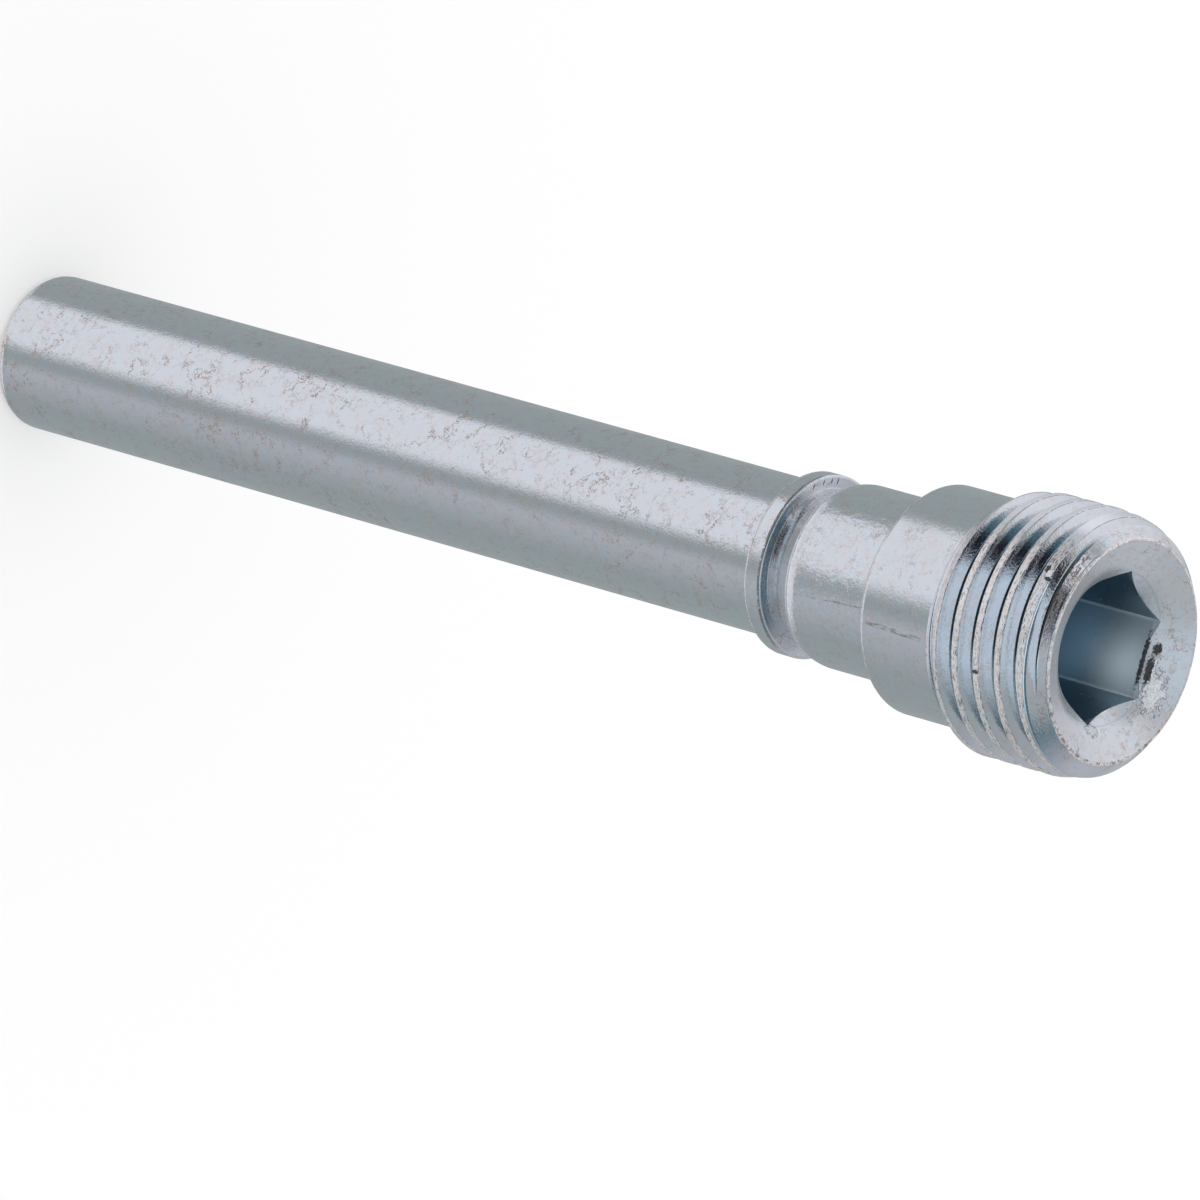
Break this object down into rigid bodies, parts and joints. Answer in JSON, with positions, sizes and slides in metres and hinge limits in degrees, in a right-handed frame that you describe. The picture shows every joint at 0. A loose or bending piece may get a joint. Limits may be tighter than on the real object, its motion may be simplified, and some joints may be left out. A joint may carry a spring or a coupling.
{
  "type": "brake pad pin",
  "caption": "Turned steel brake pad pin with a plain shank, a collar, a ring groove, a shoulder and a fine threaded head with a hexagon socket.",
  "frame": {"origin": "centre of the flat tail end, on which the pin stands", "axes": "+Z along the pin's axis from the tail end to the threaded head, +Y square to two flats of the hexagon socket, +X towards a corner of it"},
  "size_m": [0.01, 0.01, 0.0534],
  "materials": {
    "zinc_plated_steel": "bright zinc plate, fine turned, with light scratches and stains"
  },
  "bodies": {
    "root": {"pad_pin": "zinc_plated_steel"}
  },
  "joints": []
}
